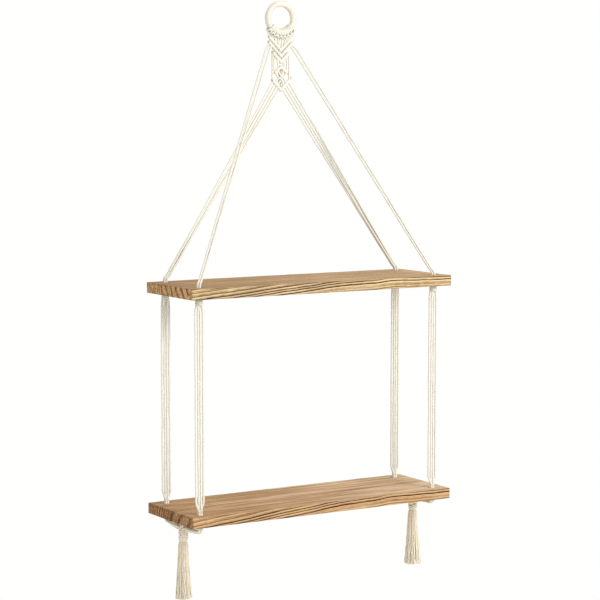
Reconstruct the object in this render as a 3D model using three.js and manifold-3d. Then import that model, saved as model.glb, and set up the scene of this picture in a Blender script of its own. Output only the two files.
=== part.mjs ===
// A two-tier hanging rope shelf: a wooden ring, a knotted neck, rope slings, two boards and two tassels.
// Lengths are in millimetres and angles in degrees. +Z is up, +X is right and +Y is towards the wall.
// The origin is the seat of the hook, which is the highest point of the hole in the ring.
import * as THREE from "three";
import { mergeVertices } from "three/addons/utils/BufferGeometryUtils.js";
import Module from "manifold-3d";

// Ring
const ringOuterDiameter = 50;
const ringThickness = 9;

// Cord: eight cords, folded over the ring, make four strands for each corner
const cordDiameter = 3;
const cordCount = 8;
const cornerStrandCount = 4;
const bundlePitchShare = 0.9; // strands that are drawn together sink into each other by a tenth

// Boards and their holes
const boardLength = 420;
const boardWidth = 130;
const boardThickness = 15;
const boardEdgeBevel = 1;
const boardCornerBevel = 1.5;
const holeDiameter = 8.5;
const holeFromEnd = 20;
const holeFromEdge = 17;

// Where the tiers hang
const wallToRingCentre = 8;
const upperBoardDrop = 378; // from the seat of the hook
const boardSpacing = 307;

// Clearances between pieces
const seatGap = 0.3;
const foldGap = 0.6; // under the folds, where the neck bends away from the wall

// Lark's head folds round the lower part of the ring
const foldArcAngle = 110;

// V-shaped rows of hitches under the folds
const vRowThickness = 5.3;
const vRowDepth = 6.4;
const vRowAngle = 45;
const vRowPitch = 8;
const vRowUpperHalfWidth = 19.5;
const vRowMiddleHalfWidth = 20;
const vRowLowerHalfWidth = 13.5;
const fullRowHitchCount = 7;
const shortRowHitchCount = 4;

// Diamond of hitches round the square knot
const diamondRowThickness = 5;
const diamondRowDepth = 6;
const diamondHeight = 31.7; // between the axes of its rows
const diamondLowerHalfWidth = 14;
const diamondUpperAngle = 40;
const diamondLowerAngle = 44;
const squareKnotWidth = 15;
const squareKnotHeight = 18.5;
const squareKnotDepth = 9;

// Plain cords of the neck
const collarCordCount = 4; // on each side
const neckCordCount = 4;
const neckCordsInnerEdge = 4;

// Slings
const frontSlingStartHalfWidth = 20.8;
const backSlingStartShares = [0.1, 0.35, 0.6, 0.85]; // of the length of the diamond's lower row
const slingBendHeight = 3;

// Stop knots under the upper board
const stopKnotDiameter = 11;
const stopKnotHeight = 8.6;

// Legs
const legStrandPitch = 3.7;
const legStrandStagger = 1;
const legSpreadLength = 9;
const legGatherLength = 30;
const legEndDiameter = 7.4;

// Under the lower board
const strapClearance = 3; // from the underside of the board to the straps
const elbowRadius = 4.5;
const elbowTail = 1.5;
const strapTail = 3;
const strapEntryAngle = 48; // above the horizontal, into the knot
const gatheringKnotDiameter = 14;
const gatheringKnotHeight = 21;
const leftKnotDrop = 11; // from the underside of the board
const rightKnotDrop = 7;

// Tassels
const tasselLength = 77;
const tasselTopRadius = 6.3;
const tasselEndRadius = 11.6;
const tasselLobeHeight = 0.7;
const tasselLobeCount = 8;

// Counts of facets
const strandFacetCount = 8;
const knotFacetCount = 12;
const knotRingCount = 8;
const rowFacetCount = 10;
const ringTubeFacetCount = 14;
const ringArcFacetCount = 44;
const foldFacetCount = 7; // doubled by the circle's own points
const holeFacetCount = 8;

// Sizes that follow from those above
const cordRadius = cordDiameter / 2;
const bundlePitch = cordDiameter * bundlePitchShare;
const bundleHalfWidth = bundlePitch / 2 + cordRadius;
const ringTubeRadius = ringThickness / 2;
const ringRadius = ringOuterDiameter / 2 - ringTubeRadius;
const ringCentreZ = -(ringRadius - ringTubeRadius);
const foldInnerRadius = ringTubeRadius + seatGap;
const foldOuterRadius = foldInnerRadius + cordDiameter;
const foldReach = ringRadius + foldOuterRadius;
const backFaceY = wallToRingCentre;
const boardMiddleY = backFaceY - boardWidth / 2;
const upperTopZ = -upperBoardDrop;
const upperUndersideZ = upperTopZ - boardThickness;
const lowerTopZ = upperTopZ - boardSpacing;
const lowerUndersideZ = lowerTopZ - boardThickness;
const stopKnotZ = upperUndersideZ - seatGap - stopKnotHeight / 2;
const legTopZ = stopKnotZ - stopKnotHeight / 2 - seatGap;
const legEndZ = lowerTopZ + seatGap + legEndDiameter / 2;
const legBottomZ = legEndZ + legEndDiameter / 2 + seatGap;
const strapAxisZ = lowerUndersideZ - strapClearance - bundleHalfWidth;
const gatheringKnotRadius = gatheringKnotDiameter / 2;

const corners = [
  { name: "front_left", side: -1, front: 1 },
  { name: "front_right", side: 1, front: 1 },
  { name: "back_left", side: -1, front: 0 },
  { name: "back_right", side: 1, front: 0 },
].map(({ name, side, front }) => ({
  name,
  side,
  isFront: front === 1,
  x: side * (boardLength / 2 - holeFromEnd),
  y: front === 1 ? backFaceY - boardWidth + holeFromEdge : backFaceY - holeFromEdge,
}));

const sides = [
  { name: "left", sign: -1, knotTopZ: lowerUndersideZ - leftKnotDrop },
  { name: "right", sign: 1, knotTopZ: lowerUndersideZ - rightKnotDrop },
];

const wasm = await Module();
wasm.setup();

const radians = THREE.MathUtils.degToRad;

const ringWood = new THREE.MeshStandardMaterial({ color: 0xd9bd94, roughness: 0.55, metalness: 0 });
const cotton = new THREE.MeshStandardMaterial({ color: 0xeee3cb, roughness: 0.95, metalness: 0 });
const boardWood = new THREE.MeshStandardMaterial({ color: 0xa87447, roughness: 0.7, metalness: 0 });

// A route through chosen points, with one ring of the tube exactly at each of them.
class Route extends THREE.Curve {
  constructor(points) {
    super();
    this.stops = points;
  }

  getPoint(share) {
    const last = this.stops.length - 1;
    const index = Math.min(Math.floor(share * last), last - 1);
    return this.stops[index].clone().lerp(this.stops[index + 1], share * last - index);
  }

  getPointAt(share) {
    return this.getPoint(share);
  }

  getTangentAt(share) {
    const last = this.stops.length - 1;
    const index = Math.round(share * last);
    const before = this.stops[Math.max(index - 1, 0)];
    const here = this.stops[index];
    const after = this.stops[Math.min(index + 1, last)];
    const arriving = here.clone().sub(before).normalize();
    const leaving = after.clone().sub(here).normalize();
    return arriving.add(leaving).normalize();
  }
}

// An arc of the ring's centre line, between two angles measured from straight down.
class RingArc extends THREE.Curve {
  constructor(start, end) {
    super();
    this.start = start;
    this.end = end;
  }

  getPoint(share) {
    const angle = this.start + (this.end - this.start) * share;
    return new THREE.Vector3(
      ringRadius * Math.sin(angle),
      0,
      ringCentreZ - ringRadius * Math.cos(angle),
    );
  }
}

function solid(geometry) {
  const bare = geometry.index ? geometry.toNonIndexed() : geometry.clone();
  bare.deleteAttribute("normal");
  bare.deleteAttribute("uv");
  const merged = mergeVertices(bare, 1e-4);
  return new wasm.Manifold(
    new wasm.Mesh({
      numProp: 3,
      vertProperties: merged.attributes.position.array,
      triVerts: new Uint32Array(merged.index.array),
    }),
  );
}

function geometryOf(manifold) {
  const { numProp, vertProperties, triVerts } = manifold.getMesh();
  const positions = new Float32Array((vertProperties.length / numProp) * 3);
  for (let i = 0; i * numProp < vertProperties.length; i++) {
    for (let axis = 0; axis < 3; axis++) {
      positions[i * 3 + axis] = vertProperties[i * numProp + axis];
    }
  }
  const geometry = new THREE.BufferGeometry();
  geometry.setAttribute("position", new THREE.BufferAttribute(positions, 3));
  geometry.setIndex(new THREE.BufferAttribute(new Uint32Array(triVerts), 1));
  return geometry;
}

function joined(geometries) {
  return geometryOf(geometries.map(solid).reduce((whole, next) => whole.add(next)));
}

function named(name, geometry, material) {
  const mesh = new THREE.Mesh(geometry, material);
  mesh.name = name;
  return mesh;
}

function polygon(radius, count) {
  const shape = new THREE.Shape();
  for (let i = 0; i < count; i++) {
    const angle = ((i + 0.5) / count) * 2 * Math.PI;
    const place = [radius * Math.cos(angle), radius * Math.sin(angle)];
    if (i === 0) shape.moveTo(...place);
    else shape.lineTo(...place);
  }
  shape.closePath();
  return shape;
}

function strand(points) {
  return new THREE.ExtrudeGeometry(polygon(cordRadius, strandFacetCount), {
    steps: points.length - 1,
    extrudePath: new Route(points),
    bevelEnabled: false,
  });
}

// The four places of a corner's strands where they are drawn together, about the bundle's middle.
const bundlePlaces = [
  [-0.5, -0.5],
  [0.5, -0.5],
  [0.5, 0.5],
  [-0.5, 0.5],
].map(([across, along]) => new THREE.Vector2(across, along).multiplyScalar(bundlePitch));

function ring() {
  const torus = new THREE.TorusGeometry(ringRadius, ringTubeRadius, ringTubeFacetCount, ringArcFacetCount);
  const mesh = named("hanging_ring", torus, ringWood);
  mesh.rotation.x = Math.PI / 2;
  mesh.position.z = ringCentreZ;
  return mesh;
}

function larksHeads() {
  const section = new THREE.Shape().absarc(0, 0, foldOuterRadius, 0, 2 * Math.PI);
  section.holes.push(new THREE.Path().absarc(0, 0, foldInnerRadius, 0, 2 * Math.PI, true));
  const pitch = radians(foldArcAngle) / cordCount;
  const halfGap = seatGap / 2 / (ringRadius - foldOuterRadius);
  return Array.from({ length: cordCount }, (_, i) => {
    const start = -radians(foldArcAngle) / 2 + pitch * i;
    const fold = new THREE.ExtrudeGeometry(section, {
      steps: 2,
      curveSegments: foldFacetCount,
      extrudePath: new RingArc(start + halfGap, start + pitch - halfGap),
      bevelEnabled: false,
    });
    return named(`larks_head_${i + 1}`, fold, cotton);
  });
}

// A row of hitches between two points of the neck's plane, one bulge for each hitch.
function hitchRow(outer, inner, hitches, thickness, depth) {
  const valleyShare = 0.84;
  const shoulderShares = [0.3, 0.7];
  const profile = [new THREE.Vector2(0, 0)];
  for (let i = 0; i < hitches; i++) {
    profile.push(new THREE.Vector2(valleyShare, i / hitches));
    for (const share of shoulderShares) profile.push(new THREE.Vector2(1, (i + share) / hitches));
  }
  profile.push(new THREE.Vector2(valleyShare, 1), new THREE.Vector2(0, 1));
  const run = inner.clone().sub(outer);
  const row = new THREE.LatheGeometry(profile, rowFacetCount);
  row.scale(thickness / 2, run.length(), depth / 2);
  const along = run.clone().normalize();
  const back = new THREE.Vector3(0, 1, 0);
  const across = along.clone().cross(back);
  row.applyMatrix4(new THREE.Matrix4().makeBasis(across, along, back));
  row.translate(outer.x, outer.y, outer.z);
  return row;
}

// The row, cut off half a gap short of the neck's middle plane, where its mirror image meets it.
function cutAtMiddle(row, sign) {
  const reach = upperBoardDrop;
  const otherSide = new THREE.BoxGeometry(reach, reach, reach);
  otherSide.translate(-sign * (reach / 2 - seatGap / 2), 0, 0);
  return geometryOf(solid(row).subtract(solid(otherSide)));
}

function mirroredRows(name, sign, ends) {
  const { outerHalfWidth, outerZ, innerZ, hitches, thickness, depth } = ends;
  const outer = new THREE.Vector3(sign * outerHalfWidth, 0, outerZ);
  const middle = new THREE.Vector3(0, 0, innerZ);
  const overrun = middle.clone().sub(outer).setLength(thickness / 2);
  const row = hitchRow(outer, middle.add(overrun), hitches, thickness, depth);
  return named(name, cutAtMiddle(row, sign), cotton);
}

// The upper row keeps the gap under the folds, and the others follow it down.
const vRowHalfFace = vRowThickness / 2 / Math.cos(radians(vRowAngle));
const upperVRowTipZ =
  ringCentreZ - (foldReach + foldGap) / Math.cos(radians(vRowAngle)) - vRowHalfFace;

function vRowTipZ(index) {
  return upperVRowTipZ - vRowPitch * index;
}

function vRows() {
  const slope = Math.tan(radians(vRowAngle));
  const rows = [
    { name: "upper", halfWidth: vRowUpperHalfWidth, hitches: fullRowHitchCount },
    { name: "middle", halfWidth: vRowMiddleHalfWidth, hitches: fullRowHitchCount },
    { name: "lower", halfWidth: vRowLowerHalfWidth, hitches: shortRowHitchCount },
  ];
  return rows.flatMap((row, i) => {
    const innerZ = vRowTipZ(i);
    return sides.map((side) =>
      mirroredRows(`v_row_${row.name}_${side.name}`, side.sign, {
        outerHalfWidth: row.halfWidth,
        outerZ: innerZ + slope * row.halfWidth,
        innerZ,
        hitches: row.hitches,
        thickness: vRowThickness,
        depth: vRowDepth,
      }),
    );
  });
}

// Height of the upper or lower face of a row of the V, at a distance from the middle.
function vRowFaceZ(index, halfWidth, faceSign) {
  return vRowTipZ(index) + Math.tan(radians(vRowAngle)) * halfWidth + faceSign * vRowHalfFace;
}

// The diamond's top is seated under the V.
const diamondHalfFace = diamondRowThickness / 2 / Math.cos(radians(diamondUpperAngle));
const diamondTopZ = vRowFaceZ(2, 0, -1) - seatGap - diamondHalfFace;
const diamondBottomZ = diamondTopZ - diamondHeight;

// The upper rows end beside the outermost plain cord, which runs on past them.
const diamondUpperHalfWidth =
  neckCordsInnerEdge +
  bundlePitch * (neckCordCount - 1) -
  seatGap -
  (Math.sin(radians(diamondUpperAngle)) * diamondRowThickness) / 2;
const diamondUpper = {
  outerHalfWidth: diamondUpperHalfWidth,
  outerZ: diamondTopZ - Math.tan(radians(diamondUpperAngle)) * diamondUpperHalfWidth,
  innerZ: diamondTopZ,
};
const diamondLower = {
  outerHalfWidth: diamondLowerHalfWidth,
  outerZ: diamondBottomZ + Math.tan(radians(diamondLowerAngle)) * diamondLowerHalfWidth,
  innerZ: diamondBottomZ,
};

function diamondRows() {
  const finish = { hitches: shortRowHitchCount, thickness: diamondRowThickness, depth: diamondRowDepth };
  return sides.flatMap((side) => [
    mirroredRows(`diamond_row_upper_${side.name}`, side.sign, { ...diamondUpper, ...finish }),
    mirroredRows(`diamond_row_lower_${side.name}`, side.sign, { ...diamondLower, ...finish }),
  ]);
}

function squareKnot() {
  const knot = new THREE.SphereGeometry(1, knotFacetCount, knotRingCount);
  knot.scale(squareKnotWidth / 2, squareKnotDepth / 2, squareKnotHeight / 2);
  const mesh = named("square_knot", knot, cotton);
  mesh.position.z = (diamondTopZ + diamondBottomZ) / 2;
  return mesh;
}

// The short plain cords between the folds and the first row, side by side.
function collarCords() {
  const cords = [];
  for (let i = 0; i < collarCordCount; i++) {
    const innerEdge = bundlePitch * i;
    const outerEdge = innerEdge + cordDiameter;
    const topZ = ringCentreZ - Math.sqrt(foldReach ** 2 - innerEdge ** 2) - foldGap;
    const bottomZ = vRowFaceZ(0, outerEdge, 1) + seatGap;
    if (bottomZ + seatGap > topZ) continue; // no room beside the folds
    for (const { sign } of sides) {
      const x = sign * (innerEdge + bundlePitch / 2);
      cords.push(strand([new THREE.Vector3(x, 0, topZ), new THREE.Vector3(x, 0, bottomZ)]));
    }
  }
  return named("collar_cords", joined(cords), cotton);
}

// The plain cords from the V down to the diamond. The outermost one runs on past the diamond's corner.
function neckCords() {
  const upperSlope = Math.tan(radians(diamondUpperAngle));
  const halfRise = (Math.cos(radians(diamondLowerAngle)) * diamondRowThickness) / 2;
  const lowRowTopZ = diamondLower.outerZ + halfRise + seatGap;
  return sides.map(({ name, sign }) => {
    const cords = [];
    for (let i = 0; i < neckCordCount; i++) {
      const innerEdge = neckCordsInnerEdge + bundlePitch * i;
      const outermost = i === neckCordCount - 1;
      const topZ = vRowFaceZ(2, innerEdge, -1) - seatGap;
      const rowFaceZ = diamondTopZ - upperSlope * innerEdge + diamondHalfFace + seatGap;
      const bottomZ = outermost ? lowRowTopZ : rowFaceZ;
      const x = sign * (innerEdge + cordRadius);
      cords.push(strand([new THREE.Vector3(x, 0, topZ), new THREE.Vector3(x, 0, bottomZ)]));
    }
    return named(`neck_cords_${name}`, joined(cords), cotton);
  });
}

// Where each strand of a sling leaves the neck.
function slingStarts(corner) {
  if (corner.isFront) {
    const drop = (cordRadius / 2 + seatGap) / Math.cos(radians(vRowAngle));
    return bundlePlaces.map((place) => {
      const x = corner.side * frontSlingStartHalfWidth + place.x;
      return new THREE.Vector3(x, place.y, vRowFaceZ(1, Math.abs(x), -1) - drop);
    });
  }
  const angle = radians(diamondLowerAngle);
  const outwards = new THREE.Vector3(corner.side * Math.sin(angle), 0, -Math.cos(angle));
  const outer = new THREE.Vector3(
    corner.side * diamondLower.outerHalfWidth,
    0,
    diamondLower.outerZ,
  );
  const inner = new THREE.Vector3(0, 0, diamondLower.innerZ);
  const clear = diamondRowThickness / 2 + seatGap * 2;
  return backSlingStartShares.map((share) =>
    outer.clone().lerp(inner, share).addScaledVector(outwards, clear),
  );
}

function slings() {
  return corners.map((corner) => {
    const strands = slingStarts(corner).map((start, i) => {
      const x = corner.x + bundlePlaces[i].x;
      const y = corner.y + bundlePlaces[i].y;
      return strand([
        start,
        new THREE.Vector3(x, y, upperTopZ + slingBendHeight),
        new THREE.Vector3(x, y, upperUndersideZ),
      ]);
    });
    return named(`sling_${corner.name}`, joined(strands), cotton);
  });
}

function board(name, topZ) {
  const halfLength = boardLength / 2;
  const halfWidth = boardWidth / 2;
  const bevel = boardCornerBevel;
  const outline = new THREE.Shape([
    new THREE.Vector2(halfLength, -halfWidth + bevel),
    new THREE.Vector2(halfLength, halfWidth - bevel),
    new THREE.Vector2(halfLength - bevel, halfWidth),
    new THREE.Vector2(-halfLength + bevel, halfWidth),
    new THREE.Vector2(-halfLength, halfWidth - bevel),
    new THREE.Vector2(-halfLength, -halfWidth + bevel),
    new THREE.Vector2(-halfLength + bevel, -halfWidth),
    new THREE.Vector2(halfLength - bevel, -halfWidth),
  ]);
  for (const corner of corners) {
    const hole = new THREE.Path();
    hole.absarc(corner.x, corner.y - boardMiddleY, holeDiameter / 2, 0, 2 * Math.PI, true);
    outline.holes.push(hole);
  }
  const slab = new THREE.ExtrudeGeometry(outline, {
    depth: boardThickness - boardEdgeBevel * 2,
    curveSegments: holeFacetCount,
    bevelThickness: boardEdgeBevel,
    bevelSize: boardEdgeBevel,
    bevelOffset: -boardEdgeBevel,
    bevelSegments: 1,
  });
  const mesh = named(name, slab, boardWood);
  mesh.position.set(0, boardMiddleY, topZ - boardThickness + boardEdgeBevel);
  return mesh;
}

function ball(name, corner, z, diameter, height) {
  const geometry = new THREE.SphereGeometry(1, knotFacetCount, knotRingCount);
  geometry.rotateX(Math.PI / 2);
  geometry.scale(diameter / 2, diameter / 2, height / 2);
  const mesh = named(name, geometry, cotton);
  mesh.position.set(corner.x, corner.y, z);
  return mesh;
}

function stopKnots() {
  return corners.map((corner) =>
    ball(`stop_knot_${corner.name}`, corner, stopKnotZ, stopKnotDiameter, stopKnotHeight),
  );
}

// The spot above a lower hole where the four strands are drawn together and bend.
function legEnds() {
  return corners.map((corner) =>
    ball(`leg_end_${corner.name}`, corner, legEndZ, legEndDiameter, legEndDiameter),
  );
}

// The strands of a leg, drawn together at both ends and side by side, loosely staggered, between them.
function legs() {
  const gatheredPlaces = [0, 3, 1, 2]; // where each strand of the row goes in the bundle
  return corners.map((corner) => {
    const strands = gatheredPlaces.map((gathered, i) => {
      const wide = new THREE.Vector2(
        (i - (cornerStrandCount - 1) / 2) * legStrandPitch,
        i % 2 === 0 ? legStrandStagger : -legStrandStagger,
      );
      const tight = bundlePlaces[gathered];
      const stop = (spread, z) => {
        const offset = tight.clone().lerp(wide, spread);
        return new THREE.Vector3(corner.x + offset.x, corner.y + offset.y, z);
      };
      return strand([
        stop(0, legTopZ),
        stop(1, legTopZ - legSpreadLength),
        stop(1, legBottomZ + legGatherLength),
        stop(0, legBottomZ),
      ]);
    });
    return named(`leg_${corner.name}`, joined(strands), cotton);
  });
}

// The four strands through a lower hole, turned under the board towards its middle.
function boardPasses() {
  const turnShares = [0, 1 / 3, 2 / 3, 1];
  return corners.map((corner) => {
    const inwards = corner.isFront ? 1 : -1;
    const strands = bundlePlaces.map((place) => {
      const at = (turn, down) => {
        const angle = turn * (Math.PI / 2);
        const radius = elbowRadius - place.y;
        return new THREE.Vector3(
          corner.x + place.x,
          corner.y + inwards * (elbowRadius - radius * Math.cos(angle)),
          strapAxisZ + elbowRadius - radius * Math.sin(angle) + down,
        );
      };
      const entry = at(0, 0);
      entry.z = lowerTopZ;
      const exit = at(1, 0);
      exit.y += inwards * elbowTail;
      return strand([entry, ...turnShares.map((turn) => at(turn, 0)), exit]);
    });
    return named(`board_pass_${corner.name}`, joined(strands), cotton);
  });
}

// The straps under the lower board, from the turned strands to the gathering knot.
function straps() {
  return corners.map((corner) => {
    const inwards = corner.isFront ? 1 : -1;
    const startY = corner.y + inwards * (elbowRadius + elbowTail + seatGap);
    const { knotTopZ } = sides.find((side) => side.sign === corner.side);
    const entry = (distance) =>
      new THREE.Vector3(
        corner.x,
        boardMiddleY - inwards * distance * Math.cos(radians(strapEntryAngle)),
        knotTopZ - gatheringKnotRadius + distance * Math.sin(radians(strapEntryAngle)),
      );
    const seat = entry(gatheringKnotRadius + seatGap);
    const bend = entry(gatheringKnotRadius + seatGap + strapTail);
    const aside = (place) =>
      new THREE.Vector3(
        place.x,
        inwards * place.y * Math.sin(radians(strapEntryAngle)),
        place.y * Math.cos(radians(strapEntryAngle)),
      );
    const strands = bundlePlaces.map((place) => {
      const x = corner.x + place.x;
      const z = strapAxisZ + place.y;
      return strand([
        new THREE.Vector3(x, startY, z),
        new THREE.Vector3(x, startY + inwards * strapTail, z),
        bend.clone().add(aside(place)),
        seat.clone().add(aside(place)),
      ]);
    });
    return named(`strap_${corner.name}`, joined(strands), cotton);
  });
}

// Three turns of cord, one over the other, with rounded ends.
function gatheringKnots() {
  const waistShare = 0.86;
  const domeSteps = 4;
  const radius = gatheringKnotRadius;
  const profile = [];
  const dome = (centreZ, from, to) => {
    for (let i = 0; i <= domeSteps; i++) {
      const angle = radians(from + ((to - from) * i) / domeSteps);
      profile.push(new THREE.Vector2(radius * Math.cos(angle), centreZ + radius * Math.sin(angle)));
    }
  };
  const lowCentre = -gatheringKnotHeight + radius;
  const highCentre = -radius;
  dome(lowCentre, -90, 0);
  profile.push(new THREE.Vector2(radius * waistShare, (lowCentre * 2 + highCentre) / 3));
  profile.push(new THREE.Vector2(radius, (lowCentre + highCentre) / 2));
  profile.push(new THREE.Vector2(radius * waistShare, (lowCentre + highCentre * 2) / 3));
  dome(highCentre, 0, 90);
  return sides.map(({ name, sign, knotTopZ }) => {
    const knot = new THREE.LatheGeometry(profile, knotFacetCount);
    const mesh = named(`gathering_knot_${name}`, knot, cotton);
    mesh.rotation.x = Math.PI / 2;
    mesh.position.set(sign * (boardLength / 2 - holeFromEnd), boardMiddleY, knotTopZ);
    return mesh;
  });
}

// Eight strands side by side, flaring to a level cut.
function tassels() {
  const flareShares = [
    [0, 0],
    [0.2, 0.06],
    [0.45, 0.22],
    [0.75, 0.55],
    [1, 1],
  ];
  const flare = tasselEndRadius - tasselTopRadius;
  const profile = flareShares.map(
    ([down, out]) => new THREE.Vector2(tasselTopRadius + flare * out, -tasselLength * down),
  );
  profile.reverse();
  profile.unshift(new THREE.Vector2(0, -tasselLength));
  profile.push(new THREE.Vector2(0, 0));
  return sides.map(({ name, sign, knotTopZ }) => {
    const tassel = new THREE.LatheGeometry(profile, tasselLobeCount * 4);
    const places = tassel.attributes.position;
    for (let i = 0; i < places.count; i++) {
      const x = places.getX(i);
      const z = places.getZ(i);
      const radius = Math.hypot(x, z);
      if (radius < cordRadius) continue;
      const lobe = (Math.cos(Math.atan2(z, x) * tasselLobeCount) - 1) / 2;
      const scale = 1 + (tasselLobeHeight * lobe) / radius;
      places.setX(i, x * scale);
      places.setZ(i, z * scale);
    }
    const mesh = named(`tassel_${name}`, tassel, cotton);
    mesh.rotation.x = Math.PI / 2;
    mesh.position.set(
      sign * (boardLength / 2 - holeFromEnd),
      boardMiddleY,
      knotTopZ - gatheringKnotHeight - seatGap,
    );
    return mesh;
  });
}

const shelf = new THREE.Group();
shelf.add(
  ring(),
  ...larksHeads(),
  collarCords(),
  ...vRows(),
  ...neckCords(),
  ...diamondRows(),
  squareKnot(),
  ...slings(),
  board("upper_board", upperTopZ),
  ...stopKnots(),
  ...legs(),
  ...legEnds(),
  board("lower_board", lowerTopZ),
  ...boardPasses(),
  ...straps(),
  ...gatheringKnots(),
  ...tassels(),
);

export default shelf;
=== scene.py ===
# The look of a two-tier hanging rope shelf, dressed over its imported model.
# Lengths are millimetres and angles degrees until a mesh is made. +Z is up and +Y is towards the wall.
import math

import bmesh
import bpy
import numpy as np

from mathutils import Matrix, Vector


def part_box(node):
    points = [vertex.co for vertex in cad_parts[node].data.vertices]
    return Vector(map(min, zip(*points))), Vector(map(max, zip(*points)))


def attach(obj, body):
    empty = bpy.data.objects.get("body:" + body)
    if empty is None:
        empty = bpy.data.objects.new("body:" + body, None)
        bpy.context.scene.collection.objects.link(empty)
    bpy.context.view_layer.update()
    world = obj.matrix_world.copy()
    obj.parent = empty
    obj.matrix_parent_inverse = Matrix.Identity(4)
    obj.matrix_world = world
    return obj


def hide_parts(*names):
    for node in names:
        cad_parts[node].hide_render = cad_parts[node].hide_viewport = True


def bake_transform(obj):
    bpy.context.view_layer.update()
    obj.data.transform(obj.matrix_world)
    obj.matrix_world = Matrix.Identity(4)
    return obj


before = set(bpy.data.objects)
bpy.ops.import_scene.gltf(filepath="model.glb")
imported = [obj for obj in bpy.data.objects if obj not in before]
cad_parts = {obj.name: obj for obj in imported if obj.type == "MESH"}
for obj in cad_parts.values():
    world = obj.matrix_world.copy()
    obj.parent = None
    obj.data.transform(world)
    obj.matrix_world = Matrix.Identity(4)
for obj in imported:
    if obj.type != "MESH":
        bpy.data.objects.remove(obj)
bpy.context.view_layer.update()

MM = 0.001

# Camera, fitted to the corners of both boards
CAMERA_PLACE = (-1520.7, -2538.7, -119.5)
CAMERA_YAW = 31.45
CAMERA_PITCH = 5.667
CAMERA_LENS = 125.45
CAMERA_REACH = 60000
SENSOR_WIDTH = 36.0

# Light and stage: each lamp's place, size, power and colour
LIGHTS = {
    "key_light": ((1100, -2600, 700), 1100, 66, (1.0, 0.99, 0.97)),
    "fill_light": ((-2300, -1500, 300), 2200, 4, (0.98, 0.99, 1.0)),
    "back_light": ((500, 2300, 600), 2000, 14, (1.0, 1.0, 1.0)),
}
LIGHT_TARGET = (0, -40, -420)
STUDIO_COLOUR = (1.0, 1.0, 0.985)
FLOOR_COLOUR = (0.86, 0.85, 0.83)
FLOOR_DROP = 1600
FLOOR_RADIUS = 2900

# Cord
CORD_RADIUS = 1.5
PLIES = 3
POINTS_PER_PLY = 4
PLY_OFFSET_SHARE = 0.18
CORD_LAY = 9.5
CORD_STEP = 0.95
CURVE_STOPS = 16
WANDER_LENGTHS = (31.0, 67.0, 140.0)
BUNDLE_PITCH = 3.1
BUNDLE_SHARES = ((-0.5, -0.5), (0.5, -0.5), (0.5, 0.5), (-0.5, 0.5))

# Ring and the folds on it
TUBE_RADIUS = 4.5
RING_STOPS = 144
RING_POINTS = 36
FOLD_COUNT = 8
FOLD_ARC = 110.0
FOLD_PITCH = FOLD_ARC / FOLD_COUNT
FOLD_RADIUS = 1.22
FOLD_REACH = TUBE_RADIUS + FOLD_RADIUS + 0.15
FOLD_PINCH_SHARE = 0.28
TAIL_SHARE = 0.24
BAR_ANGLE = 56.0

# A fold from tail to bar: angle round the tube, shift along the ring in pitches, rise in cord radii
FOLD_ANGLES = np.array([46, 70, 100, 135, 180, 225, 270, 315, 350, 380, 400])
FOLD_SHIFTS = np.array([0, 0, 0, 0, 0.02, 0.05, 0.09, 0.12, 0.15, 0.14, 0.08])
FOLD_RISES = np.array([0, 0, 0, 0, 0, 0, 0, 0.15, 0.7, 1.5, 1.9])

# Two places on a tail: how far outside the ring's centre line, and in front of it
TAIL_PLACES = ((7.2, 1.6), (5.6, 3.2))

# Rows of hitches. On the right the wraps lean more, as they are tied the other way round
ROW_WRAP_THICKNESS = 1.9
V_ROW_THICKNESS = 5.3
V_ROW_ANGLE = 45.0
DIAMOND_ROW_THICKNESS = 5.0
DIAMOND_UPPER_ANGLE = 40.0
DIAMOND_LOWER_ANGLE = 44.0
FULL_ROW_WRAPS = 7
SHORT_ROW_WRAPS = 4
HOLDING_RADIUS = 1.2
HITCH_TURN = (-75, 300)
HITCH_STOPS = 26
HITCH_LEANS = {1: 0.62, -1: 1.5}
HITCH_JITTER = 0.12
HITCH_WIDTH_SHARE = 0.53
HITCH_TUCK = 1.4
OUTER_MARGIN = 0.8
TIP_MARGIN = 0.2
TIP_PITCH = 3.6
TIP_LEAN = 0.3

# The neck. A plain cord is given by its distances from the middle at its top, halfway and foot, and its depth
COLLAR_RADIUS = 1.4
COLLAR_STAGGER = 0.7
COLLAR_BOW = 1.7
INNER_NECK_CORDS = ((9.4, 10.7, 9.6, 0.6), (6.2, 4.3, 6.0, -0.8))
KNOT_HALF_GAP = 1.75
KNOT_DEPTH = 1.35
LOOP_BULGE = ((0.12, 0.15), (0.35, 0.72), (0.62, 1.0), (0.88, 0.68))
LOOP_REACH = 6.0
LOOP_EDGE = 11.5

# Slings
SLING_TOP_GAP = 5.6
SLING_HIDDEN_GAP = 3.4
SLING_HIDDEN_DEPTH = 0.8
SLING_SHARES = (0.03, 0.08, 0.2, 0.5, 0.8, 0.92, 0.975)
SLING_BEND_HEIGHT = 2.5

# Legs
LEG_PITCH = 3.7
LEG_STAGGER = 0.25
LEG_STRAND_RADIUS = 1.6
LEG_TOP_PITCH = 2.5
LEG_TOP_STAGGER = 1.2
LEG_SPREAD_LENGTH = 13.0
LEG_GATHER_LENGTH = 17.0
LEG_GATHER_START = -6.5
LEG_STOPS = 90
LEG_WAVE = 0.35
LEG_ORDER = (0, 3, 1, 2)

# Knots: the strands in a band, how it dips under itself at its ends, and what fills the knot.
# A gathering knot's bands: height, share of the girth, pitch, tilt and the angle where it starts
BAND_STRANDS = 4
BAND_STOPS = 40
BAND_STEP = 0.85
BAND_DIP = 0.55
BAND_START_SHARE = 0.1
BAND_END_SHARE = 0.16
STOP_KNOT_POWER = 3.5
STOP_KNOT_FILLING = 2.6
GATHERING_FILLING = 2.3
GATHERING_BANDS = ((-5.2, 0.985, 2.45, -1.7, 95), (4.4, 1.0, 2.5, 2.3, 235))

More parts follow.
